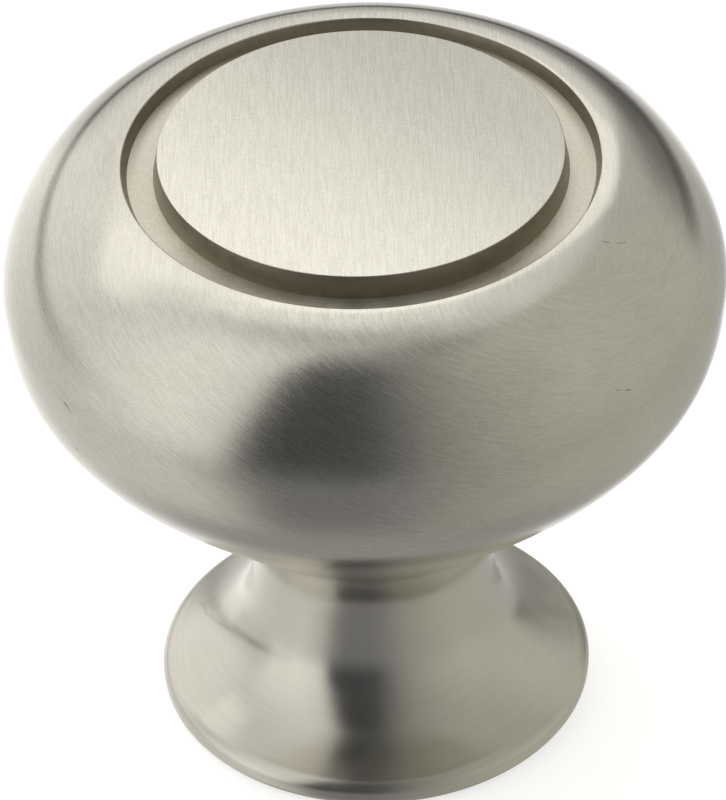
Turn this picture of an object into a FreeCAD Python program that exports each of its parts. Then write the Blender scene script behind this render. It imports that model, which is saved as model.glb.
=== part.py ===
# Round cabinet knob, one casting: a bun-shaped head with a flat disc and a ring groove on top,
# a waisted neck, a flared foot with a rounded lip, and a tapped hole in a boss under the foot.
# Millimetres. The origin is the centre of the seat under the foot, and +Z runs up the knob's axis.

import FreeCAD, Part
import math
import os

from FreeCAD import Vector

# Head
knob_height = 29.7
head_diameter = 32.0
widest_height = 23.1
shoulder_reach = 3.2
shoulder_fall = 2.15
shoulder_slope = 2.0
side_drop = 3.85
underside_reach = 7.2
underside_slope = 44.5

# Flat disc on top and the ring groove round it
disc_diameter = 17.8
groove_width = 1.15
groove_depth = 1.05
disc_wall_lean = 0.2
rim_wall_lean = 0.25
rim_step_down = 0.48
disc_edge_bevel = 0.12
rim_edge_ease = 0.2
groove_corner_radius = 0.15

# Neck
neck_top_diameter = 18.8
neck_top_height = 13.15
waist_diameter = 11.0
waist_height = 7.4
neck_top_slope = 21.7
neck_top_reach = 2.55
waist_reach = 2.5
neck_edge_ease = 0.2

# Foot
foot_diameter = 19.6
flare_start_reach = 2.9
flare_end_reach = 3.8
flare_end_slope = 28.0
lip_height = 1.33
lip_top_radius = 0.5
lip_blend_reach = 0.45
lip_blend_pull = 0.2
lip_blend_slope = 10.0
seat_edge_radius = 0.5

# Underside of the foot: a seating ring, a cored recess and a boss with the tapped hole
seat_ring_width = 1.7
recess_depth = 1.4
recess_corner_radius = 0.3
boss_diameter = 8.6
boss_setback = 0.15

# Tapped hole for a No. 8 machine screw, 32 threads to the inch, drawn at its tap drill size
tap_drill_diameter = 3.45
screw_major_diameter = 4.166
hole_depth = 14.0
drill_point_angle = 118.0

# Worked out from the sizes above
head_radius = head_diameter / 2
disc_radius = disc_diameter / 2
foot_radius = foot_diameter / 2
waist_radius = waist_diameter / 2
neck_top_radius = neck_top_diameter / 2
boss_radius = boss_diameter / 2
hole_radius = tap_drill_diameter / 2
mouth_radius = screw_major_diameter / 2
groove_floor_height = knob_height - groove_depth
groove_inner_radius = disc_radius + disc_wall_lean
groove_outer_radius = groove_inner_radius + groove_width
rim_radius = groove_outer_radius + rim_wall_lean
rim_height = knob_height - rim_step_down
lip_crown_radius = foot_radius - lip_top_radius
lip_side_height = lip_height - lip_top_radius
seat_outer_radius = foot_radius - seat_edge_radius
seat_inner_radius = seat_outer_radius - seat_ring_width
mouth_chamfer = mouth_radius - hole_radius
hole_point_rise = hole_radius / math.tan(math.radians(drill_point_angle / 2))

same_place = 1e-4


def at(radius, height):
    return Vector(radius, 0, height)


def line(start, end):
    return Part.LineSegment(start, end).toShape()


def arc(start, middle, end):
    return Part.Arc(start, middle, end).toShape()


def curve(poles):
    bezier = Part.BezierCurve()
    bezier.setPoles(poles)
    return bezier.toShape()


def quarter_round(start, end, centre, radius):
    """Quarter round from start to end about centre, bulging away from it."""
    outward = (start - centre) + (end - centre)
    middle = centre + outward.normalize() * radius
    return arc(start, middle, end)


def along(point, degrees, length):
    """The point that lies length from point, up at an angle from level."""
    angle = math.radians(degrees)
    return point + Vector(length * math.cos(angle), 0, length * math.sin(angle))


def neck_top():
    return at(neck_top_radius, neck_top_height)


def waist():
    return at(waist_radius, waist_height)


def rim():
    return at(rim_radius, rim_height)


def groove_outer_corner():
    return at(groove_outer_radius, groove_floor_height)


def rim_wall_end():
    """Where the groove's outer wall stops short of the rim, which is eased."""
    down_the_wall = (groove_outer_corner() - rim()).normalize()
    return rim() + down_the_wall * rim_edge_ease


def shoulder_start():
    return along(rim(), -shoulder_slope, rim_edge_ease)


def underside_end():
    """Where the head's underside stops short of its edge with the neck, which is eased."""
    return along(neck_top(), underside_slope, neck_edge_ease)


def top_edges():
    """Disc, groove walls and floor, and the eased rim where the shoulder starts."""
    points = [
        at(0, knob_height),
        at(disc_radius, knob_height),
        at(groove_inner_radius, groove_floor_height),
        groove_outer_corner(),
        rim_wall_end(),
    ]
    walls = [line(a, b) for a, b in zip(points, points[1:])]
    return walls + [curve([rim_wall_end(), rim(), shoulder_start()])]


def head_edges():
    """Crowned shoulder down to the widest circle, then the side and the cone-like underside."""
    widest = at(head_radius, widest_height)
    shoulder = [
        shoulder_start(),
        along(rim(), -shoulder_slope, shoulder_reach),
        widest + Vector(0, 0, shoulder_fall),
        widest,
    ]
    underside = [
        widest,
        widest - Vector(0, 0, side_drop),
        along(neck_top(), underside_slope, underside_reach),
        underside_end(),
    ]
    return [curve(shoulder), curve(underside)]


def neck_edges():
    """Eased edge under the head, then the hollow neck, upright where it meets the waist."""
    neck_start = along(neck_top(), 180 + neck_top_slope, neck_edge_ease)
    neck = [
        neck_start,
        along(neck_top(), 180 + neck_top_slope, neck_top_reach),
        waist() + Vector(0, 0, waist_reach),
        waist(),
    ]
    return [curve([underside_end(), neck_top(), neck_start]), curve(neck)]


def foot_edges():
    """Flare from the waist, a blend that levels it out, then the lip's round, its side and the seat's edge."""
    crown = at(lip_crown_radius, lip_height)
    lip_centre = at(lip_crown_radius, lip_side_height)
    flare_end = along(crown, 180 - flare_end_slope, lip_blend_reach)
    round_start = along(lip_centre, 90 - lip_blend_slope, lip_top_radius)
    flare = [
        waist(),
        waist() - Vector(0, 0, flare_start_reach),
        along(crown, 180 - flare_end_slope, flare_end_reach),
        flare_end,
    ]
    blend = [
        flare_end,
        along(flare_end, -flare_end_slope, lip_blend_pull),
        along(round_start, 180 - lip_blend_slope, lip_blend_pull),
        round_start,
    ]
    round_middle = along(lip_centre, (90 - lip_blend_slope) / 2, lip_top_radius)
    side_top = at(foot_radius, lip_side_height)
    side_bottom = at(foot_radius, seat_edge_radius)
    edges = [curve(flare), curve(blend), arc(round_start, round_middle, side_top)]
    if side_top.z - side_bottom.z > same_place:
        edges.append(line(side_top, side_bottom))
    edges.append(quarter_round(side_bottom, at(seat_outer_radius, 0),
                               at(seat_outer_radius, seat_edge_radius), seat_edge_radius))
    return edges


def foot_bottom_edges():
    """Seat, cored recess round the boss, and the tapped hole's wall and drill point."""
    points = [
        at(seat_outer_radius, 0),
        at(seat_inner_radius, 0),
        at(seat_inner_radius, recess_depth),
        at(boss_radius, recess_depth),
        at(boss_radius, boss_setback),
        at(mouth_radius, boss_setback),
        at(hole_radius, boss_setback + mouth_chamfer),
        at(hole_radius, hole_depth),
        at(0, hole_depth + hole_point_rise),
        at(0, knob_height),
    ]
    return [line(a, b) for a, b in zip(points, points[1:])]


def turned_blank():
    edges = top_edges() + head_edges() + neck_edges() + foot_edges() + foot_bottom_edges()
    outline = Part.Wire(edges)
    return Part.Face(outline).revolve(Vector(0, 0, 0), Vector(0, 0, 1), 360)


def circles_at(solid, radius, height):
    """Full circular edges of the solid at a radius and a height."""
    found = []
    for edge in solid.Edges:
        if not isinstance(edge.Curve, Part.Circle):
            continue
        if abs(edge.Curve.Radius - radius) > same_place:
            continue
        if abs(edge.Curve.Center.z - height) < same_place:
            found.append(edge)
    return found


def rounded(solid, radius, places):
    edges = [edge for place in places for edge in circles_at(solid, *place)]
    return solid.makeFillet(radius, edges)


def knob_body():
    solid = turned_blank()
    solid = rounded(solid, disc_edge_bevel, [(disc_radius, knob_height)])
    solid = rounded(solid, groove_corner_radius, [(groove_inner_radius, groove_floor_height),
                                                  (groove_outer_radius, groove_floor_height)])
    solid = rounded(solid, recess_corner_radius, [(seat_inner_radius, recess_depth),
                                                  (boss_radius, recess_depth)])
    return solid


def write(name, solid):
    if solid.ShapeType != "Solid":
        solid = solid.Solids[0]
    solid.exportStep(os.path.join("parts", name + ".step"))
    box = solid.BoundBox
    print(name, "valid", solid.isValid(), "faces", len(solid.Faces), "volume mm3", round(solid.Volume, 1))
    print("size", round(box.XLength, 3), round(box.YLength, 3), round(box.ZLength, 3))


os.makedirs("parts", exist_ok=True)
write("knob_body", knob_body())
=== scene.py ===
# Satin nickel cabinet knob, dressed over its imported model: metres, standing on z = 0, axis on Z.
import math

import bmesh
import bpy
from mathutils import Matrix, Vector


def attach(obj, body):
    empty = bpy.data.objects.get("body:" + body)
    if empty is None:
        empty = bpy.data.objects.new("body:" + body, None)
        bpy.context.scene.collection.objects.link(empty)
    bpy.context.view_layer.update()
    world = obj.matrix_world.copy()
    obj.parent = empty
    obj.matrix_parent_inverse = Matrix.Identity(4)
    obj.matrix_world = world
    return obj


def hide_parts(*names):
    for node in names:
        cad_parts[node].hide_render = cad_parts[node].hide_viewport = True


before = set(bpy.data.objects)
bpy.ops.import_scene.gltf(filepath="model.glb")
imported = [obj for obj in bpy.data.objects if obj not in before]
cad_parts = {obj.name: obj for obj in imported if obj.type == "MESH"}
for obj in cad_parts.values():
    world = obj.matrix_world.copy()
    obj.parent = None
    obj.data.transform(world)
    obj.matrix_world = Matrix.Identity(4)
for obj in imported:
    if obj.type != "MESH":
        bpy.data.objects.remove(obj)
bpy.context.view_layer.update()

mm = 0.001
scene = bpy.context.scene
print("packed model loaded:", sorted(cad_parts))


# Small helpers for nodes. A value is a number, a vector, a colour or another node's socket.

def plug(tree, socket, value):
    if isinstance(value, bpy.types.NodeSocket):
        tree.links.new(value, socket)
    else:
        socket.default_value = value


def newTree(owner):
    owner.use_nodes = True
    tree = owner.node_tree
    tree.nodes.clear()
    return tree


def addNode(tree, kind, inputs=None, **settings):
    node = tree.nodes.new(kind)
    for key, value in settings.items():
        setattr(node, key, value)
    for key, value in (inputs or {}).items():
        plug(tree, node.inputs[key], value)
    return node


def calc(tree, operation, *values, clamp=False):
    inputs = dict(enumerate(values))
    return addNode(tree, "ShaderNodeMath", inputs, operation=operation, use_clamp=clamp).outputs[0]


def plus(tree, first, second):
    return calc(tree, "ADD", first, second)


def minus(tree, first, second):
    return calc(tree, "SUBTRACT", first, second)


def times(tree, first, second):
    return calc(tree, "MULTIPLY", first, second)


# Two values added up, each by its share
def weighed(tree, first, second, shares):
    return plus(tree, times(tree, first, shares[0]), times(tree, second, shares[1]))


def vectorCalc(tree, operation, *values):
    node = addNode(tree, "ShaderNodeVectorMath", dict(enumerate(values)), operation=operation)
    return node.outputs["Value"] if operation in ("DOT_PRODUCT", "LENGTH") else node.outputs["Vector"]


def scaled(tree, vector, factor):
    inputs = {0: vector, "Scale": factor}
    return addNode(tree, "ShaderNodeVectorMath", inputs, operation="SCALE").outputs["Vector"]


def split(tree, vector):
    return addNode(tree, "ShaderNodeSeparateXYZ", {"Vector": vector}).outputs[:]


def joined(tree, x, y, z):
    return addNode(tree, "ShaderNodeCombineXYZ", {"X": x, "Y": y, "Z": z}).outputs[0]


def radiusOf(tree, x, y):
    return vectorCalc(tree, "LENGTH", joined(tree, x, y, 0.0))


def remap(tree, value, fromLow, fromHigh, toLow=0.0, toHigh=1.0, curve="SMOOTHSTEP"):
    inputs = {"Value": value, "From Min": fromLow, "From Max": fromHigh, "To Min": toLow, "To Max": toHigh}
    return addNode(tree, "ShaderNodeMapRange", inputs, interpolation_type=curve).outputs["Result"]


# The same for a length, over a span in millimetres
def fade(tree, value, span, low=0.0, high=1.0):
    return remap(tree, value, span[0] * mm, span[1] * mm, low, high)


# From low where the mask is 0 to high where it is 1
def masked(tree, mask, low, high):
    return remap(tree, mask, 0.0, 1.0, low, high, "LINEAR")


def mixColour(tree, factor, first, second, blend="MIX"):
    inputs = {0: factor, 6: first, 7: second}   # the colour sockets of the Mix node
    return addNode(tree, "ShaderNodeMix", inputs, data_type="RGBA", blend_type=blend).outputs[2]


def shaded(tree, colour, factor):
    return mixColour(tree, 1.0, colour, factor, "MULTIPLY")


def noise(tree, vector, scale, detail=2.0, rough=0.5):
    inputs = {"Vector": vector, "Scale": scale, "Detail": detail, "Roughness": rough}
    return addNode(tree, "ShaderNodeTexNoise", inputs).outputs["Fac"]


def stretched(tree, vector, scale):
    inputs = {"Vector": vector, "Scale": scale}
    return addNode(tree, "ShaderNodeMapping", inputs, vector_type="POINT").outputs["Vector"]


def newGroup(name, inputs, outputs):
    group = bpy.data.node_groups.new(name, "ShaderNodeTree")
    for label, kind, value in inputs:
        socket = group.interface.new_socket(label, in_out="INPUT", socket_type=kind)
        if value is not None:
            socket.default_value = value
    for label, kind in outputs:
        group.interface.new_socket(label, in_out="OUTPUT", socket_type=kind)
    return group, group.nodes.new("NodeGroupInput"), group.nodes.new("NodeGroupOutput")


def useGroup(tree, group, inputs):
    return addNode(tree, "ShaderNodeGroup", inputs, node_tree=group).outputs[0]


# Shared effects: brush strokes and single marks

strokes = {
    "broadShare": 0.27, "fineShare": 0.34, "fineScale": 2.3, "grainShare": 0.39, "grainScale": 15000.0,
    "contrast": 2.2,
}


# Strokes run along whichever way the vector changes slowly, with fine grain over them
def makeStrokeGroup():
    group, given, out = newGroup(
        "brushStrokes",
        [("Vector", "NodeSocketVector", None), ("Grain", "NodeSocketVector", None),
         ("Contrast", "NodeSocketFloat", strokes["contrast"])],
        [("Lines", "NodeSocketFloat")])
    broad = noise(group, given.outputs["Vector"], 1.0, detail=2.0, rough=0.7)
    fine = noise(group, given.outputs["Vector"], strokes["fineScale"], detail=1.0, rough=0.6)
    grain = noise(group, given.outputs["Grain"], strokes["grainScale"], detail=1.0, rough=0.6)
    both = weighed(group, broad, fine, (strokes["broadShare"], strokes["fineShare"]))
    both = plus(group, both, times(group, grain, strokes["grainShare"]))
    centred = times(group, minus(group, both, 0.5), given.outputs["Contrast"])
    group.links.new(calc(group, "ADD", centred, 0.5, clamp=True), out.inputs["Lines"])
    return group


# A mark's line wanders a little; it is solid to one share of its half width and gone at the other
markLine = {"wanderScale": 900.0, "wander": 0.5, "solidTo": 0.4, "goneAt": 1.3}


# One short line between two places (a scratch, or a streak of painted reflection), or a pit where they are
# the same: 1 on it and 0 off it
def makeMarkGroup():
    group, given, out = newGroup(
        "singleMark",
        [("Vector", "NodeSocketVector", None), ("From", "NodeSocketVector", None),
         ("To", "NodeSocketVector", None), ("Half Width", "NodeSocketFloat", 0.0001)],
        [("Mark", "NodeSocketFloat")])
    vector, start, end, halfWidth = given.outputs[:4]
    inputs = {"Vector": vector, "Scale": markLine["wanderScale"]}
    jitter = addNode(group, "ShaderNodeTexNoise", inputs).outputs["Color"]
    jitter = vectorCalc(group, "SUBTRACT", jitter, (0.5, 0.5, 0.5))
    place = vectorCalc(group, "ADD", vector, scaled(group, jitter, markLine["wander"] * mm))
    ahead = vectorCalc(group, "SUBTRACT", end, start)
    offset = vectorCalc(group, "SUBTRACT", place, start)
    squareLength = plus(group, vectorCalc(group, "DOT_PRODUCT", ahead, ahead), 1e-12)   # never zero
    share = calc(group, "DIVIDE", vectorCalc(group, "DOT_PRODUCT", offset, ahead), squareLength, clamp=True)
    away = vectorCalc(group, "LENGTH", vectorCalc(group, "SUBTRACT", offset, scaled(group, ahead, share)))
    close = calc(group, "DIVIDE", away, halfWidth)
    mark = remap(group, close, markLine["solidTo"], markLine["goneAt"], 1.0, 0.0)
    group.links.new(mark, out.inputs["Mark"])
    return group


strokeGroup = makeStrokeGroup()
markGroup = makeMarkGroup()
print("shared shader groups built")


# The knob's body: one casting, drawn as a half section and spun about Z. Millimetres here.

knob = {
    # the inner ring on the disc keeps its shading flat up to the edge
    "height": 29.7, "discInner": 8.5, "discRadius": 8.9,
    "grooveFloor": 28.65, "grooveInner": 9.1, "grooveOuter": 10.25,
    "rim": (10.5, 29.22), "rimOut": (13.698, 29.108), "sideIn": (16.0, 25.25),
    "widest": (16.0, 23.1), "sideOut": (16.0, 19.25), "undersideIn": (14.535, 18.197),
    "undersideEnd": (9.543, 13.29), "neckTop": (9.4, 13.15), "neckStart": (9.214, 13.076),
    "neckOut": (7.031, 12.207), "waistIn": (5.5, 9.9), "waist": (5.5, 7.4),
    "flareOut": (5.5, 4.5), "flareIn": (5.945, 3.114),
    "flareEnd": (9.2, 1.383), "roundOut": (9.3, 1.33), "roundIn": (9.8, 1.13),
    "footRadius": 9.8, "lipSide": 0.68, "seatRound": 0.5,
    "seatInner": 7.6, "recessDepth": 1.4, "bossRadius": 4.3, "bossSetback": 0.15,
    "mouthRadius": 2.35, "threadRoot": 2.083, "threadCrest": 1.725, "threadPitch": 0.794,
    "threadStart": 0.667, "threadEnd": 11.6, "holeDepth": 14.0, "pointHeight": 15.037,
    # the thread's ridge: how far it is sunk in the wall, and half its width at the root and at the crest
    "ridgeSunk": 0.05, "ridgeRoot": 0.376, "ridgeCrest": 0.14, "stepsPerTurn": 48,
    # bevels of the round edges: width and number of facets
    "discEase": (0.025, 2), "rimEase": (0.06, 4), "seatEase": (0.15, 8), "recessRound": (0.3, 8),
    "bossEase": (0.12, 8),
    "segments": 240, "curveSteps": 30, "sharpDegrees": 12,
}


def between(first, second, share):
    return first[0] + (second[0] - first[0]) * share, first[1] + (second[1] - first[1]) * share


# Each point is (place, handle before, handle after); no handle means a straight run on that side
def headAndNeckSection():
    neckTop, neckStart, undersideEnd = knob["neckTop"], knob["neckStart"], knob["undersideEnd"]
    height, floor = knob["height"], knob["grooveFloor"]
    return [
        ((0, height), None, None),
        ((knob["discInner"], height), None, None),
        ((knob["discRadius"], height), None, None),
        ((knob["grooveInner"], floor), None, None),
        ((knob["grooveOuter"], floor), None, None),
        (knob["rim"], None, knob["rimOut"]),
        (knob["widest"], knob["sideIn"], knob["sideOut"]),
        (undersideEnd, knob["undersideIn"], between(undersideEnd, neckTop, 2 / 3)),
        (neckStart, between(neckStart, neckTop, 2 / 3), knob["neckOut"]),
        (knob["waist"], knob["waistIn"], knob["flareOut"]),
    ]


def footSection():
    handle = knob["seatRound"] * (1 - 0.5523)   # what a quarter circle's handles leave of its radius
    foot, seatRound, seatInner = knob["footRadius"], knob["seatRound"], knob["seatInner"]
    recess, boss, setback = knob["recessDepth"], knob["bossRadius"], knob["bossSetback"]
    return [
        (knob["flareEnd"], knob["flareIn"], knob["roundOut"]),
        ((foot, knob["lipSide"]), knob["roundIn"], None),
        ((foot, seatRound), None, (foot, handle)),
        ((foot - seatRound, 0), (foot - handle, 0), None),
        ((seatInner, 0), None, None),
        ((seatInner, recess), None, None),
        ((boss, recess), None, None),
        ((boss, setback), None, None),
    ]


def holeSection():
    mouth, root, crest = knob["mouthRadius"], knob["threadRoot"], knob["threadCrest"]
    setback, end = knob["bossSetback"], knob["threadEnd"]
    return [
        ((mouth, setback), None, None),
        ((root, setback + mouth - root), None, None),
        ((root, end), None, None),
        ((crest, end), None, None),
        ((crest, knob["holeDepth"]), None, None),
        ((0, knob["pointHeight"]), None, None),
    ]


def sectionWire(points):
    data = bpy.data.curves.new("halfSection", "CURVE")
    data.dimensions = "3D"
    data.resolution_u = knob["curveSteps"]
    spline = data.splines.new("BEZIER")
    spline.bezier_points.add(len(points) - 1)
    for point, (place, before, after) in zip(spline.bezier_points, points):
        point.co = (place[0] * mm, 0, place[1] * mm)
        point.handle_left_type = "FREE" if before else "VECTOR"
        point.handle_right_type = "FREE" if after else "VECTOR"
        if before:
            point.handle_left = (before[0] * mm, 0, before[1] * mm)
        if after:
            point.handle_right = (after[0] * mm, 0, after[1] * mm)
    drawn = bpy.data.objects.new("halfSection", data)
    scene.collection.objects.link(drawn)
    wire = bpy.data.meshes.new_from_object(drawn.evaluated_get(bpy.context.evaluated_depsgraph_get()))
    bpy.data.objects.remove(drawn)
    bpy.data.curves.remove(data)
    return wire


# The edges of one circle about Z, found to within a small slack
def ringEdges(mesh, radius, height):
    slack = 0.002 * mm
    found = []
    for edge in mesh.edges:
        ends = [vert.co for vert in edge.verts]
        level = all(abs(end.z - height * mm) <= slack for end in ends)
        if level and all(abs(math.hypot(end.x, end.y) - radius * mm) < slack for end in ends):
            found.append(edge)
    return found


def softenRing(mesh, radius, height, ease):
    width, facets = ease
    bmesh.ops.bevel(mesh, geom=ringEdges(mesh, radius, height), offset=width * mm, offset_type="OFFSET",
                    affect="EDGES", segments=facets, profile=0.5, material=-1, clamp_overlap=True)


def softenRings(mesh):
    softenRing(mesh, knob["discRadius"], knob["height"], knob["discEase"])
    softenRing(mesh, *knob["rim"], knob["rimEase"])
    softenRing(mesh, knob["seatInner"], 0, knob["seatEase"])
    softenRing(mesh, knob["seatInner"], knob["recessDepth"], knob["recessRound"])
    softenRing(mesh, knob["bossRadius"], knob["recessDepth"], knob["recessRound"])
    softenRing(mesh, knob["bossRadius"], knob["bossSetback"], knob["bossEase"])


def mergeClose(mesh):
    bmesh.ops.remove_doubles(mesh, verts=mesh.verts, dist=0.0002 * mm)


# Fine thread in the bore: a ridge of the thread's section, wound up the wall with spin and a rise per step.
# It is wound in a mesh of its own, which is far quicker than in the casting's.
def windThread(mesh):
    start, pitch, steps = knob["threadStart"], knob["threadPitch"], knob["stepsPerTurn"]
    turns = int((knob["threadEnd"] - start) / pitch)
    foot, crest = knob["threadRoot"] + knob["ridgeSunk"], knob["threadCrest"]
    wide, narrow = knob["ridgeRoot"], knob["ridgeCrest"]
    section = [(foot, -wide), (crest, -narrow), (crest, narrow), (foot, wide)]
    ridge = bmesh.new()
    face = ridge.faces.new([ridge.verts.new((r * mm, 0, (start + z) * mm)) for r, z in section])
    bmesh.ops.spin(ridge, geom=[face], cent=(0, 0, 0), axis=(0, 0, 1), dvec=(0, 0, pitch * mm / steps),
                   angle=turns * math.tau, steps=turns * steps, use_merge=False)
    mergeClose(ridge)
    bmesh.ops.recalc_face_normals(ridge, faces=ridge.faces)
    data = bpy.data.meshes.new("threadRidge")
    ridge.to_mesh(data)
    ridge.free()
    mesh.from_mesh(data)
    bpy.data.meshes.remove(data)


def makeKnobMesh():
    mesh = bmesh.new()
    wire = sectionWire(headAndNeckSection() + footSection() + holeSection())
    mesh.from_mesh(wire)
    bpy.data.meshes.remove(wire)
    bmesh.ops.spin(mesh, geom=mesh.verts[:] + mesh.edges[:], cent=(0, 0, 0), axis=(0, 0, 1),
                   dvec=(0, 0, 0), angle=math.tau, steps=knob["segments"], use_merge=True)
    mergeClose(mesh)
    softenRings(mesh)
    windThread(mesh)
    bmesh.ops.recalc_face_normals(mesh, faces=mesh.faces)
    return mesh


# Where each finish ends on the casting, with a little slack past the bevels: radius and height
zoneEdges = {
    "bore": (knob["threadRoot"] + 0.06, 15.2), "castUnderside": (knob["seatInner"] + 0.01, 1.45),
    "disc": (knob["discRadius"] + 0.02, knob["height"] - 0.06),
    "grooveFloor": (knob["grooveOuter"] + 0.1, knob["grooveFloor"] + 0.1),
    "grooveWall": (knob["rim"][0] - 0.03, 28.0),
}


# Which finish a face has, by the place of its middle
def zoneOf(radius, height):
    within = {zone: radius < edge[0] for zone, edge in zoneEdges.items()}
    above = {zone: height > edge[1] for zone, edge in zoneEdges.items()}
    if within["bore"] and not above["bore"]:
        return "bore"
    if within["castUnderside"] and not above["castUnderside"]:
        return "castUnderside"
    if height < knob["neckTop"][1]:
        return "satin"
    if within["disc"] and above["disc"]:
        return "disc"
    inGroove = above["grooveWall"]
    if inGroove and within["grooveFloor"] and not above["grooveFloor"]:
        return "grooveFloor"
    if inGroove and within["grooveWall"]:
        return "grooveWall"
    return "head"


# Finishes. The nickel's own colour is the same everywhere; brushing, casting, painted light and painted
# shade change it.
# Spans, scratches and bumps are in millimetres; a share says how much of a colour or line is taken.

nickel = {
    "colour": (0.648, 0.622, 0.536, 1), "worn": (0.70, 0.672, 0.585, 1), "shade": (0.50, 0.478, 0.405, 1),
    "satinRough": (0.17, 0.23),
    # a quarter turn stretches the highlights square to the strokes
    "highlightTurn": 0.25,
}

# Noise keeps mostly to the middle of its range, so these spans of it are spread from 0 to 1
middleSpan = (0.3, 0.7)
wideSpan = (0.2, 0.8)


def newMetal(name, anisotropy=0.0):
    material = bpy.data.materials.new(name)
    tree = newTree(material)
    turn = nickel["highlightTurn"] if anisotropy else 0.0
    shader = addNode(tree, "ShaderNodeBsdfPrincipled", {
        "Metallic": 1.0, "Anisotropic": anisotropy, "Anisotropic Rotation": turn})
    addNode(tree, "ShaderNodeOutputMaterial", {"Surface": shader.outputs[0]})
    place = addNode(tree, "ShaderNodeTexCoord").outputs["Object"]
    return material, tree, shader, place


def feed(tree, shader, colour, rough, height, depth):
    tree.links.new(colour, shader.inputs["Base Color"])
    tree.links.new(rough, shader.inputs["Roughness"])
    bump = addNode(tree, "ShaderNodeBump", {"Height": height, "Distance": depth * mm, "Strength": 1.0})
    tree.links.new(bump.outputs[0], shader.inputs["Normal"])


# Plating from its shade to its worn colour by tone, evened out with the plain colour
def plating(tree, tone, toneSpan, plainShare):
    colour = mixColour(tree, remap(tree, tone, *toneSpan), nickel["shade"], nickel["worn"])
    return mixColour(tree, plainShare, colour, nickel["colour"])


def brushLines(tree, place, strokeVector, contrast):
    return useGroup(tree, strokeGroup, {"Vector": strokeVector, "Grain": place, "Contrast": contrast})


# The way the strokes run: square to the sweep and to the surface
def strokeTangent(tree, shader, sweep):
    surface = addNode(tree, "ShaderNodeNewGeometry").outputs["Normal"]
    along = vectorCalc(tree, "NORMALIZE", vectorCalc(tree, "CROSS_PRODUCT", sweep, surface))
    tree.links.new(along, shader.inputs["Tangent"])


# Marks are given as from, to, half width
def allMarks(tree, place, marks):
    total = None
    for start, end, halfWidth in marks:
        ends = {"From": Vector(start) * mm, "To": Vector(end) * mm}
        mark = useGroup(tree, markGroup, {"Vector": place, **ends, "Half Width": halfWidth * mm})
        total = mark if total is None else calc(tree, "MAXIMUM", total, mark)
    return total


headFinish = {
    "anisotropy": 0.55, "contrast": 2.3, "bump": 0.0012,
    # strokes lie in planes square to a sweep: one for the sides, and along X for the crown
    "sweep": (0.352, -0.124, 0.928), "sideScale": (700.0, 12000.0),
    "crownSweep": (1, 0, 0), "crownScale": (12000, 500, 900),
    # the crown ends at this radius and this far to the front, and its boundary wanders
    "crownEnd": (11.6, 13.2), "crownFront": (-10.5, -7.5), "wander": 3, "wanderScale": 180.0,
    # brushing fades out under the head, and is weaker on the right
    "fadeUnder": (17.6, 19.6), "weakerRight": (1.0, 12.0), "rightShare": 0.55,
    "cloudScale": 320.0, "lineAndCloud": (0.75, 0.25), "toneSpan": (0.25, 0.75), "plainShare": 0.3,
    # painted light: the underside of the head is coloured lighter
    "paintedUnderLight": (0.77, 0.75, 0.675, 1), "paintedUnderLightSpan": (16.6, 18.0),
    # finer at the sides and the back, where the reflections are crisper
    "rough": (0.17, 0.27), "finerSides": 0.6, "finerSpan": (-9.0, -3.0),
    # painted highlight: brighter where the shoulder starts in front
    "paintedSheen": 1.15, "paintedSheenFront": (-8.6, -10.2), "paintedSheenTop": (28.85, 29.1), "paintedSheenRight": (2.8, 6.0),
    "markColour": (0.16, 0.15, 0.125, 1), "markShare": 0.7,
    "marks": [
        ((-12.71, -9.45, 21.19), (-12.71, -9.45, 21.19), 0.14),
        ((9.04, -6.94, 29.09), (9.58, -6.19, 29.08), 0.035),
        ((9.58, -6.19, 29.08), (11.02, -5.79, 28.67), 0.035),
        ((10.54, -11.43, 25.05), (11.69, -10.62, 24.36), 0.045),
        ((11.02, -5.79, 28.67), (12.1, -5.3, 28.2), 0.025),
        ((4.15, -12.3, 28.2), (4.3, -12.25, 28.2), 0.06),
        ((-13.41, -8.58, 23.86), (-12.78, -9.63, 23.18), 0.05),
        ((11.3, 6.2, 28.42), (12.05, 7.1, 27.45), 0.06),
    ],
}


# 1 on the crown, where the strokes run from back to front, and 0 round the sides
def crownMask(tree, place, x, y):
    wander = minus(tree, noise(tree, place, headFinish["wanderScale"]), 0.5)
    wander = times(tree, wander, headFinish["wander"] * mm)
    inside = fade(tree, plus(tree, radiusOf(tree, x, y), wander), headFinish["crownEnd"], 1.0, 0.0)
    return times(tree, inside, fade(tree, plus(tree, y, wander), headFinish["crownFront"]))


def headLines(tree, place, x, y, crown):
    along, across = headFinish["sideScale"]
    sweepWay = vectorCalc(tree, "DOT_PRODUCT", place, headFinish["sweep"])
    swept = joined(tree, times(tree, x, along), times(tree, y, along), times(tree, sweepWay, across))
    sides = brushLines(tree, place, swept, headFinish["contrast"])
    top = brushLines(tree, place, stretched(tree, place, headFinish["crownScale"]), headFinish["contrast"])
    return mixColour(tree, crown, sides, top)


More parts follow.
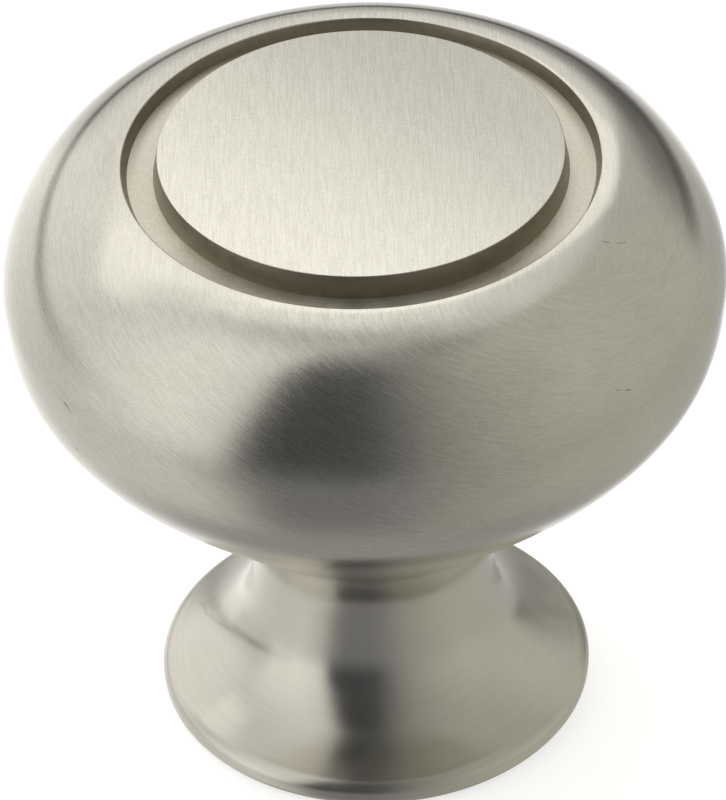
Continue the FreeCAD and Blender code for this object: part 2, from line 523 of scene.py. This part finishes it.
def brushedHead():
    material, tree, shader, place = newMetal("brushedHead", headFinish["anisotropy"])
    x, y, z = split(tree, place)
    crown = crownMask(tree, place, x, y)
    sweep = mixColour(tree, crown, (*headFinish["sweep"], 1), (*headFinish["crownSweep"], 1))
    strokeTangent(tree, shader, sweep)
    brushed = fade(tree, z, headFinish["fadeUnder"])
    strength = times(tree, brushed, fade(tree, x, headFinish["weakerRight"], 1.0, headFinish["rightShare"]))
    lines = masked(tree, strength, 0.5, headLines(tree, place, x, y, crown))
    cloud = noise(tree, place, headFinish["cloudScale"], detail=3.0)
    tone = weighed(tree, lines, cloud, headFinish["lineAndCloud"])
    colour = plating(tree, tone, headFinish["toneSpan"], headFinish["plainShare"])
    # painted light: lighter colour under the head
    under = fade(tree, z, headFinish["paintedUnderLightSpan"], 1.0, 0.0)
    colour = mixColour(tree, under, colour, headFinish["paintedUnderLight"])
    # painted highlight on the front of the shoulder, by the rim
    paintedSheen = times(tree, fade(tree, y, headFinish["paintedSheenFront"]), fade(tree, z, headFinish["paintedSheenTop"]))
    paintedSheen = times(tree, paintedSheen, fade(tree, x, headFinish["paintedSheenRight"], 1.0, 0.0))
    colour = shaded(tree, colour, masked(tree, paintedSheen, 1.0, headFinish["paintedSheen"]))
    marks = allMarks(tree, place, headFinish["marks"])
    colour = mixColour(tree, times(tree, marks, headFinish["markShare"]), colour, headFinish["markColour"])
    rough = masked(tree, lines, *headFinish["rough"])
    rough = times(tree, rough, fade(tree, y, headFinish["finerSpan"], 1.0, headFinish["finerSides"]))
    rough = masked(tree, brushed, nickel["satinRough"][1], rough)
    feed(tree, shader, colour, rough, minus(tree, lines, marks), headFinish["bump"])
    return material


discFinish = {
    "anisotropy": 0.6, "contrast": 2.4, "sweep": (1, 0, 0), "strokeScale": (12000, 400, 900),
    "plainShare": 0.3, "rough": (0.24, 0.34), "bump": 0.0016,
    # painted light and shade: the disc is lighter towards the front left and darker towards the back right
    "paintedGradientWay": (0.7, 0.714, 0), "paintedGradientSpan": (-9, 9), "paintedLitAndShaded": (1.22, 0.775),
}


def brushedDisc():
    material, tree, shader, place = newMetal("brushedDisc", discFinish["anisotropy"])
    strokeTangent(tree, shader, discFinish["sweep"])
    drawnOut = stretched(tree, place, discFinish["strokeScale"])
    lines = brushLines(tree, place, drawnOut, discFinish["contrast"])
    colour = plating(tree, lines, wideSpan, discFinish["plainShare"])
    # painted light: from lighter at the front left to darker at the back right
    towards = vectorCalc(tree, "DOT_PRODUCT", place, discFinish["paintedGradientWay"])
    paintedGradient = fade(tree, towards, discFinish["paintedGradientSpan"], *discFinish["paintedLitAndShaded"])
    colour = shaded(tree, colour, paintedGradient)
    rough = masked(tree, lines, *discFinish["rough"])
    feed(tree, shader, colour, rough, lines, discFinish["bump"])
    return material


grooveFinish = {
    "blotchScale": 700.0, "grainScale": 5200.0, "blotchAndGrain": (0.7, 0.3), "toneSpan": (0.3, 0.68),
    "dark": (0.61, 0.565, 0.46, 1), "light": (0.79, 0.75, 0.64, 1), "rough": (0.42, 0.55), "bump": 0.012,
    # painted shade: dark in the corner by the outer wall at the back
    "corner": (0.22, 0.2, 0.15, 1), "cornerShadeShare": 0.75,
    "cornerShadeSpan": (9.6, 10.2), "cornerShadeBack": (-2.0, 6.0),
    # painted reflection: darker in the front of the groove, where the floor reflects the dark disc wall
    "front": (0.27, 0.25, 0.19, 1), "paintedFrontSpan": (-8.4, -4.6), "paintedFrontShare": 0.55,
    "wallDark": (0.275, 0.252, 0.198, 1), "wallLight": (0.38, 0.35, 0.28, 1), "wallScale": 2600.0,
    "wallRough": (0.32, 0.42), "wallBump": 0.004,
}


def grooveFloor():
    material, tree, shader, place = newMetal("grooveFloor")
    x, y = split(tree, place)[:2]
    blotches = noise(tree, place, grooveFinish["blotchScale"], detail=3.0, rough=0.55)
    grain = noise(tree, place, grooveFinish["grainScale"], detail=2.0, rough=0.6)
    tone = weighed(tree, blotches, grain, grooveFinish["blotchAndGrain"])
    tone = remap(tree, tone, *grooveFinish["toneSpan"])
    colour = mixColour(tree, tone, grooveFinish["dark"], grooveFinish["light"])
    # painted shade in the corner by the outer wall at the back
    atBack = fade(tree, y, grooveFinish["cornerShadeBack"], 0.0, grooveFinish["cornerShadeShare"])
    corner = times(tree, fade(tree, radiusOf(tree, x, y), grooveFinish["cornerShadeSpan"]), atBack)
    colour = mixColour(tree, corner, colour, grooveFinish["corner"])
    # painted reflection of the dark disc wall in the front of the groove
    front = fade(tree, y, grooveFinish["paintedFrontSpan"], grooveFinish["paintedFrontShare"], 0.0)
    colour = mixColour(tree, front, colour, grooveFinish["front"])
    rough = remap(tree, blotches, *middleSpan, *grooveFinish["rough"])
    feed(tree, shader, colour, rough, grain, grooveFinish["bump"])
    return material


def grooveWall():
    material, tree, shader, place = newMetal("grooveWall")
    grain = noise(tree, place, grooveFinish["wallScale"], detail=3.0)
    colour = mixColour(tree, grain, grooveFinish["wallDark"], grooveFinish["wallLight"])
    rough = remap(tree, grain, *wideSpan, *grooveFinish["wallRough"])
    feed(tree, shader, colour, rough, grain, grooveFinish["wallBump"])
    return material


neckFinish = {
    "anisotropy": 0.2, "circleScale": (250, 250, 9000), "grainScale": 14000.0, "circleAndGrain": (0.6, 0.4),
    "cloudScale": 420.0, "lineAndCloud": (0.6, 0.4), "plainShare": 0.7, "bump": 0.002,
    # painted light: the top of the neck, under the head, is coloured lighter
    "paintedTopLight": (0.83, 0.822, 0.78, 1), "paintedTopLightSpan": (8.2, 10.4),
    # circles are a little fainter above the lip
    "fainter": 0.85, "fainterSpan": (1.0, 3.2),
    # painted shade: darker where the flare levels out in front, below the head
    "paintedFlareShade": 0.82, "paintedFlareShadeTop": (4.6, 2.2), "paintedFlareShadeBottom": (0.9, 1.25), "paintedFlareShadeFront": (-3.0, -6.5),
    # duller on the lip, and on a patch at the back right of the flare
    "lipDull": 0.04, "lipSpan": (1.3, 1.9),
    "patch": (7.3, 3.2, 1.9), "patchDull": 0.2, "patchSpan": (1.5, 5.0),
    # painted reflections: dark wavy lines and smudges on the flare, reflected from the tent
    "paintedReflectionColour": (0.2, 0.19, 0.16, 1), "paintedReflectionShare": 0.16,
    "paintedReflections": [
        ((-8.0, 2.9, 1.8), (-7.74, 1.4, 2.15), 0.1),
        ((-7.74, 1.4, 2.15), (-6.42, -1.2, 3.32), 0.1),
        ((-6.42, -1.2, 3.32), (-5.63, -2.64, 3.74), 0.1),
        ((-6.1, -1.2, 3.7), (-5.3, -3.3, 3.9), 0.9),
        ((7.71, 1.28, 2.19), (8.9, 1.32, 1.5), 0.6),
    ],
}


def neckColour(tree, place, y, z, lines, cloud):
    tone = weighed(tree, lines, cloud, neckFinish["lineAndCloud"])
    colour = plating(tree, tone, middleSpan, neckFinish["plainShare"])
    # painted reflections of the tent on the flare
    paintedReflections = times(tree, allMarks(tree, place, neckFinish["paintedReflections"]), neckFinish["paintedReflectionShare"])
    colour = mixColour(tree, paintedReflections, colour, neckFinish["paintedReflectionColour"])
    # painted light: lighter colour at the top of the neck
    colour = mixColour(tree, fade(tree, z, neckFinish["paintedTopLightSpan"]), colour, neckFinish["paintedTopLight"])
    # painted shade on the front of the flare, below the head
    paintedFlareShade = times(tree, fade(tree, z, neckFinish["paintedFlareShadeTop"]), fade(tree, z, neckFinish["paintedFlareShadeBottom"]))
    paintedFlareShade = times(tree, paintedFlareShade, fade(tree, y, neckFinish["paintedFlareShadeFront"]))
    return shaded(tree, colour, masked(tree, paintedFlareShade, 1.0, neckFinish["paintedFlareShade"]))


def neckRough(tree, place, z, cloud):
    rough = remap(tree, cloud, *middleSpan, *nickel["satinRough"])
    rough = plus(tree, rough, fade(tree, z, neckFinish["lipSpan"], neckFinish["lipDull"], 0.0))
    patch = vectorCalc(tree, "SUBTRACT", place, Vector(neckFinish["patch"]) * mm)
    patch = vectorCalc(tree, "LENGTH", patch)
    return plus(tree, rough, fade(tree, patch, neckFinish["patchSpan"], neckFinish["patchDull"], 0.0))


def satinNeck():
    material, tree, shader, place = newMetal("satinNeck", neckFinish["anisotropy"])
    y, z = split(tree, place)[1:]
    circles = noise(tree, stretched(tree, place, neckFinish["circleScale"]), 1.0, detail=3.0, rough=0.6)
    grain = noise(tree, place, neckFinish["grainScale"], detail=1.0, rough=0.6)
    turned = weighed(tree, circles, grain, neckFinish["circleAndGrain"])
    fainter = fade(tree, z, neckFinish["fainterSpan"], 1.0, neckFinish["fainter"])
    lines = plus(tree, 0.5, times(tree, minus(tree, turned, 0.5), fainter))
    cloud = noise(tree, place, neckFinish["cloudScale"], detail=3.0)
    colour = neckColour(tree, place, y, z, lines, cloud)
    feed(tree, shader, colour, neckRough(tree, place, z, cloud), lines, neckFinish["bump"])
    return material


undersideFinish = {"grainScale": 3000.0, "cloudScale": 500.0, "rough": (0.4, 0.55), "bump": 0.02}


def castUnderside():
    material, tree, shader, place = newMetal("castUnderside")
    grain = noise(tree, place, undersideFinish["grainScale"], detail=4.0, rough=0.65)
    cloud = noise(tree, place, undersideFinish["cloudScale"])
    colour = mixColour(tree, remap(tree, cloud, *middleSpan), nickel["shade"], nickel["colour"])
    rough = remap(tree, grain, *middleSpan, *undersideFinish["rough"])
    feed(tree, shader, colour, rough, grain, undersideFinish["bump"])
    return material


threadFinish = {
    "dark": (0.47, 0.46, 0.44, 1), "light": (0.66, 0.65, 0.62, 1), "cutScale": (900, 900, 16000),
    "rough": (0.28, 0.4), "bump": 0.004,
}


def cutThread():
    material, tree, shader, place = newMetal("cutThread")
    lines = noise(tree, stretched(tree, place, threadFinish["cutScale"]), 1.0)
    colour = mixColour(tree, lines, threadFinish["dark"], threadFinish["light"])
    rough = remap(tree, lines, *wideSpan, *threadFinish["rough"])
    feed(tree, shader, colour, rough, lines, threadFinish["bump"])
    return material


finishes = {
    "head": brushedHead(), "disc": brushedDisc(), "grooveFloor": grooveFloor(), "grooveWall": grooveWall(),
    "satin": satinNeck(), "castUnderside": castUnderside(), "bore": cutThread(),
}
print("finishes ready:", len(finishes))


def makeKnob():
    mesh = makeKnobMesh()
    zones = list(finishes)
    for face in mesh.faces:
        middle = face.calc_center_median()
        zone = zoneOf(math.hypot(middle.x, middle.y) / mm, middle.z / mm)
        face.material_index = zones.index(zone)
        face.smooth = True
    for edge in mesh.edges:
        if len(edge.link_faces) == 2 and edge.calc_face_angle(0) > math.radians(knob["sharpDegrees"]):
            edge.smooth = False
    data = bpy.data.meshes.new("knobCasting")
    mesh.to_mesh(data)
    mesh.free()
    for zone in zones:
        data.materials.append(finishes[zone])
    made = bpy.data.objects.new("knobCasting", data)
    scene.collection.objects.link(made)
    return made


knobCasting = makeKnob()
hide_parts("knob_body")
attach(knobCasting, "root")
# the solid that the casting stands for takes its finish
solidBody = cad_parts["knob_body"].data
solidBody.materials.clear()
solidBody.materials.append(finishes["satin"])
print("knob casting:", len(knobCasting.data.polygons), "faces")


# Studio: a soft tent that is bright on the left and open towards the lens, a soft box and a pale floor.
# Turns go round the knob from the back through the right, heights up from the horizon, both in degrees.

tent = {
    # turn and brightness, above and below the horizon, and the heights between which they mix
    "upper": [(0, 1.0), (16, 0.95), (23, 0.6), (60, 0.6), (105, 0.6), (125, 0.54), (145, 0.44), (158, 0.34),
              (170, 0.2), (180, 0.09), (206, 0.07), (215, 0.1), (221, 0.72), (226, 1.0), (245, 1.1),
              (262, 1.04), (284, 0.88), (300, 1.0), (330, 1.08), (350, 1.03)],
    "lower": [(0, 1.45), (14, 1.1), (24, 0.62), (32, 0.5), (60, 0.54), (105, 0.54), (130, 0.47), (150, 0.4),
              (170, 0.28), (185, 0.23), (208, 0.23), (219, 0.34), (228, 0.6), (245, 0.8), (285, 0.76),
              (310, 0.85), (335, 1.15)],
    "horizon": (-24.0, 4.0),
    # blue's share: more in what is darker than the first value, less in light from the right
    "coolBelow": 0.3, "coolBlue": 1.1, "warmTurns": (40, 165), "warmBlue": 0.93,
    "zenith": 0.6, "zenithSpan": (58.0, 86.0), "nadir": 0.38, "nadirSpan": (-48.0, -74.0),
    # the front's dark band leans: its left edge moves by these degrees from low to high
    "bandLean": (-1.5, 2.4), "leanHeights": (-5.0, 35.0),
    "leanFrom": (185.0, 210.0), "leanTo": (235.0, 290.0),
    # the dim right wall ends at a slanting upper edge, with the bright canopy over it
    "canopy": 0.9, "canopyRise": 0.4, "canopyStart": 34.0, "canopySoft": (-4.0, 6.0),
    "canopyEnd": (85.0, 120.0),
}

# Something dark behind to the right, and a dimmer patch high on the right; both fade out below the horizon
tentSpots = [
    {"turn": 27, "height": 0, "reach": 7, "fadedAt": 32, "light": 0.36},
    {"turn": 122, "height": 74, "reach": 3, "fadedAt": 14, "light": 0.6},
]
spotsEnd = (-5.0, -12.0)

# In the two below, a direction is given by how far right or back it points, from -1 to 1.
# Straight behind, the backdrop darkens towards the floor
backdrop = {"dark": 0.4, "heights": (2.0, 26.0), "backSpan": (0.85, 0.96)}

# Dark line where the floor ends: its heights, half width, solid and faded shares of that, and what
# brightness is left in it on each side
floorLine = {
    "lowHeight": -3.0, "highHeight": 0.0, "halfWidth": 3.0, "core": 0.6, "edge": 1.5,
    "left": 0.48, "back": 0.25, "right": 0.6,
    # it is high at the back left and low elsewhere
    "rise": (-0.93, -0.65), "fall": (-0.2, 0.25),
    "leftToBack": (-0.55, -0.25), "backToRight": (0.1, 0.35),
    "goneFront": (0.3, -0.5), "goneRight": (0.68, 0.82),
}


def tinted(degrees, value):
    first, last = tent["warmTurns"]
    blue = tent["warmBlue"] if first <= degrees <= last else 1.0
    if value < tent["coolBelow"]:
        blue = tent["coolBlue"]
    return value, value, value * blue, 1


def brightnessRound(tree, turn, stops):
    ramp = addNode(tree, "ShaderNodeValToRGB", {"Fac": turn})
    ramp.color_ramp.interpolation = "LINEAR"
    elements = ramp.color_ramp.elements
    while len(elements) > 1:
        elements.remove(elements[-1])
    first = stops[0][1]
    for index, (degrees, value) in enumerate(stops + [(360, first)]):
        element = elements[0] if index == 0 else elements.new(degrees / 360)
        element.position = degrees / 360
        element.color = tinted(degrees, value)
    return ramp.outputs["Color"]


def evenLight(value):
    return value, value, value, 1


def tentWalls(tree, turn, degreesRound, height):
    lean = remap(tree, height, *tent["leanHeights"], *tent["bandLean"])
    lean = times(tree, lean, remap(tree, degreesRound, *tent["leanFrom"]))
    lean = times(tree, lean, remap(tree, degreesRound, *tent["leanTo"], 1.0, 0.0))
    leaning = calc(tree, "DIVIDE", plus(tree, degreesRound, lean), 360.0)
    upper = brightnessRound(tree, leaning, tent["upper"])
    lower = brightnessRound(tree, turn, tent["lower"])
    edge = plus(tree, times(tree, degreesRound, tent["canopyRise"]), tent["canopyStart"])
    over = remap(tree, minus(tree, height, edge), *tent["canopySoft"])
    over = times(tree, over, remap(tree, degreesRound, *tent["canopyEnd"], 1.0, 0.0))
    upper = mixColour(tree, over, upper, evenLight(tent["canopy"]))
    light = mixColour(tree, remap(tree, height, *tent["horizon"]), lower, upper)
    light = mixColour(tree, remap(tree, height, *tent["zenithSpan"]), light, evenLight(tent["zenith"]))
    return mixColour(tree, remap(tree, height, *tent["nadirSpan"]), light, evenLight(tent["nadir"]))


def withSpot(tree, light, spot, heading, height):
    across, up = math.radians(spot["turn"]), math.radians(spot["height"])
    towards = (math.sin(across) * math.cos(up), math.cos(across) * math.cos(up), math.sin(up))
    away = calc(tree, "ARCCOSINE", vectorCalc(tree, "DOT_PRODUCT", heading, towards))
    away = times(tree, away, math.degrees(1))
    kept = remap(tree, away, spot["reach"], spot["fadedAt"], spot["light"], 1.0)
    kept = calc(tree, "MAXIMUM", kept, remap(tree, height, *spotsEnd))
    return shaded(tree, light, kept)


def withFloorLine(tree, light, x, y, height):
    rise = times(tree, remap(tree, x, *floorLine["rise"]), remap(tree, x, *floorLine["fall"], 1.0, 0.0))
    off = minus(tree, height, masked(tree, rise, floorLine["lowHeight"], floorLine["highHeight"]))
    left = remap(tree, x, *floorLine["leftToBack"], floorLine["left"], floorLine["back"])
    deep = masked(tree, remap(tree, x, *floorLine["backToRight"]), left, floorLine["right"])
    goneFront, goneRight = remap(tree, y, *floorLine["goneFront"]), remap(tree, x, *floorLine["goneRight"])
    deep = masked(tree, calc(tree, "MAXIMUM", goneFront, goneRight), deep, 1.0)
    core, edge = floorLine["halfWidth"] * floorLine["core"], floorLine["halfWidth"] * floorLine["edge"]
    return shaded(tree, light, remap(tree, calc(tree, "ABSOLUTE", off), core, edge, deep, 1.0))


def makeTent():
    world = bpy.data.worlds.new("studioTent")
    tree = newTree(world)
    heading = addNode(tree, "ShaderNodeTexCoord").outputs["Generated"]
    x, y, z = split(tree, heading)
    turn = plus(tree, calc(tree, "DIVIDE", calc(tree, "ARCTAN2", x, y), math.tau), 1.0)
    turn = calc(tree, "FRACT", turn)
    height = times(tree, calc(tree, "ARCSINE", z), math.degrees(1))
    light = tentWalls(tree, turn, times(tree, turn, 360.0), height)
    for spot in tentSpots:
        light = withSpot(tree, light, spot, heading, height)
    behind = remap(tree, height, *backdrop["heights"], backdrop["dark"], 0.0)
    behind = times(tree, remap(tree, y, *backdrop["backSpan"]), behind)
    light = shaded(tree, light, minus(tree, 1.0, behind))
    light = withFloorLine(tree, light, x, y, height)
    seen = addNode(tree, "ShaderNodeLightPath").outputs["Is Camera Ray"]
    light = mixColour(tree, seen, light, (1, 1, 1, 1))
    background = addNode(tree, "ShaderNodeBackground", {"Color": light, "Strength": 1.0})
    addNode(tree, "ShaderNodeOutputWorld", {"Surface": background.outputs[0]})
    scene.world = world


# Soft box above and behind, near enough for the disc to see less of it at the back: millimetres, watts
softBox = {"place": (-40, 82, 128), "size": (230, 42), "power": 0.0097}


def makeSoftBox():
    lamp = bpy.data.lights.new("softBox", "AREA")
    lamp.shape = "RECTANGLE"
    lamp.size, lamp.size_y = (side * mm for side in softBox["size"])
    lamp.energy = softBox["power"]
    box = bpy.data.objects.new("softBox", lamp)
    place = Vector(softBox["place"]) * mm
    box.location = place
    box.rotation_euler = (place - Vector((0, 0, knob["height"])) * mm).to_track_quat("Z", "Y").to_euler()
    box.visible_camera = False
    scene.collection.objects.link(box)


# The floor glows a little to the eye, so that it stays near white, and is clear from below
floorLook = {"radius": 1.6, "corners": 96, "colour": (0.93, 0.93, 0.925, 1), "lift": 0.56}


def floorMaterial():
    material = bpy.data.materials.new("studioFloor")
    tree = newTree(material)
    seen = addNode(tree, "ShaderNodeLightPath").outputs["Is Camera Ray"]
    below = addNode(tree, "ShaderNodeNewGeometry").outputs["Backfacing"]
    diffuse = addNode(tree, "ShaderNodeBsdfDiffuse", {"Color": floorLook["colour"]})
    glow = {"Color": (1, 1, 1, 1), "Strength": times(tree, seen, floorLook["lift"])}
    lift = addNode(tree, "ShaderNodeEmission", glow)
    both = addNode(tree, "ShaderNodeAddShader", {0: diffuse.outputs[0], 1: lift.outputs[0]})
    clear = addNode(tree, "ShaderNodeBsdfTransparent")
    shown = addNode(tree, "ShaderNodeMixShader", {"Fac": below, 1: both.outputs[0], 2: clear.outputs[0]})
    addNode(tree, "ShaderNodeOutputMaterial", {"Surface": shown.outputs[0]})
    return material


def makeFloor():
    mesh = bmesh.new()
    bmesh.ops.create_circle(mesh, cap_ends=True, segments=floorLook["corners"], radius=floorLook["radius"])
    data = bpy.data.meshes.new("studioFloor")
    mesh.to_mesh(data)
    mesh.free()
    data.materials.append(floorMaterial())
    floor = bpy.data.objects.new("studioFloor", data)
    scene.collection.objects.link(floor)
    floor.visible_glossy = False


makeTent()
makeSoftBox()
makeFloor()
print("studio ready")


# Camera where the photographer's was: 38.6 degrees up, square to the front. Millimetres and degrees.

lens = {
    "elevation": 38.625, "distance": 320.0, "aimHeight": 18.0, "focal": 323.15, "sensor": 36.0,
    "pan": -0.043, "tilt": -0.314, "roll": -1.74, "nearest": 10, "farthest": 20000,
}


# Two directions that are square to each other, turned in their plane
def turnedPair(first, second, degrees):
    cosine, sine = math.cos(math.radians(degrees)), math.sin(math.radians(degrees))
    return first * cosine + second * sine, second * cosine - first * sine


def makeCamera():
    up = math.radians(lens["elevation"])
    back, high = lens["distance"] * math.cos(up), lens["aimHeight"] + lens["distance"] * math.sin(up)
    ahead, right = Vector((0, math.cos(up), -math.sin(up))), Vector((1, 0, 0))
    above = right.cross(ahead)
    ahead, right = turnedPair(ahead, right, lens["pan"])
    ahead, above = turnedPair(ahead, above, lens["tilt"])
    right, above = turnedPair(right, above, lens["roll"])
    data = bpy.data.cameras.new("photoCamera")
    data.lens, data.sensor_width = lens["focal"], lens["sensor"]
    data.clip_start, data.clip_end = lens["nearest"] * mm, lens["farthest"] * mm
    camera = bpy.data.objects.new("photoCamera", data)
    turn = Matrix((right, above, -ahead)).transposed().to_4x4()
    camera.matrix_world = Matrix.Translation(Vector((0, -back, high)) * mm) @ turn
    scene.collection.objects.link(camera)
    scene.camera = camera


makeCamera()
scene.view_settings.view_transform = "Standard"
print("camera ready")
